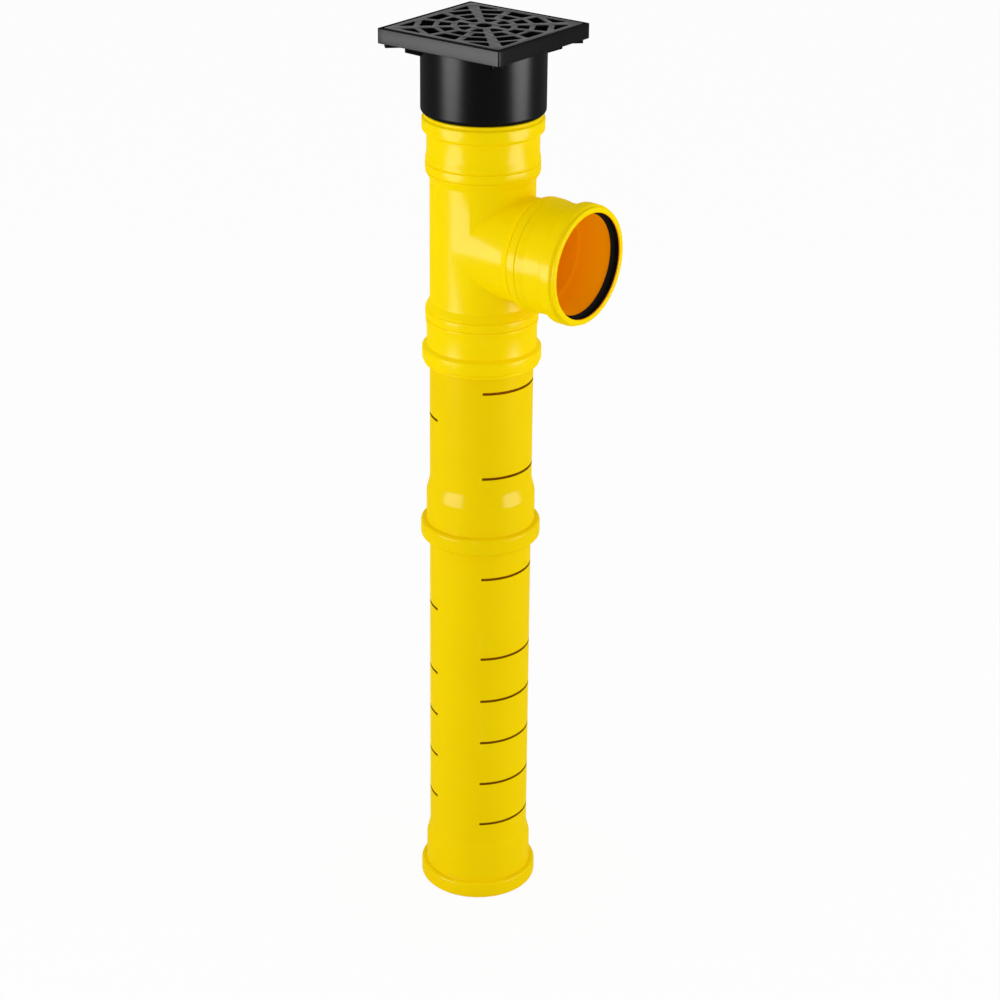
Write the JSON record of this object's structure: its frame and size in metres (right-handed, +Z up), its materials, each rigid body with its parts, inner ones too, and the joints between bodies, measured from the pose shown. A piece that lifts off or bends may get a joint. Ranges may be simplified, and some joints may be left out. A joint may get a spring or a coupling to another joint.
{
  "type": "soakaway chamber",
  "caption": "Upright drainage chamber: square black grated gully on a yellow push-fit tee with a side branch, standing on slotted drain pipes with rubber ring seals.",
  "frame": {"origin": "on the pipes' common axis, at the mouth of the lowest socket, on which the part stands", "axes": "+Z up along the common axis, +X level and out of the tee's branch socket, whose own axis falls away from it by about one degree"},
  "size_m": [0.2124, 0.1524, 0.9913],
  "materials": {
    "yellow_plastic": "smooth glossy rigid PVC, clear yellow",
    "black_plastic": "satin moulded polypropylene, black",
    "black_rubber": "dull black sealing rubber"
  },
  "bodies": {
    "lower_pipe": {"lower_pipe": "yellow_plastic", "lower_pipe_seal": "black_rubber"},
    "upper_pipe": {"upper_pipe": "yellow_plastic", "upper_pipe_seal": "black_rubber"},
    "tee": {"tee": "yellow_plastic", "tee_top_seal": "black_rubber", "branch_seal": "black_rubber", "tee_bottom_seal": "black_rubber"},
    "gully": {"gully_body": "black_plastic", "grate": "black_plastic"}
  },
  "joints": [
    {"name": "pipe_pull", "type": "slide", "parent": "lower_pipe", "child": "upper_pipe", "axis": [0, 0, 1], "range_m": [0, 0.12]},
    {"name": "tee_swivel", "type": "hinge", "parent": "upper_pipe", "child": "tee", "pos_m": [0, 0, 0.66], "axis": [0, 0, 1], "continuous": true},
    {"name": "gully_swivel", "type": "hinge", "parent": "tee", "child": "gully", "pos_m": [0, 0, 0.88], "axis": [0, 0, 1], "continuous": true}
  ]
}
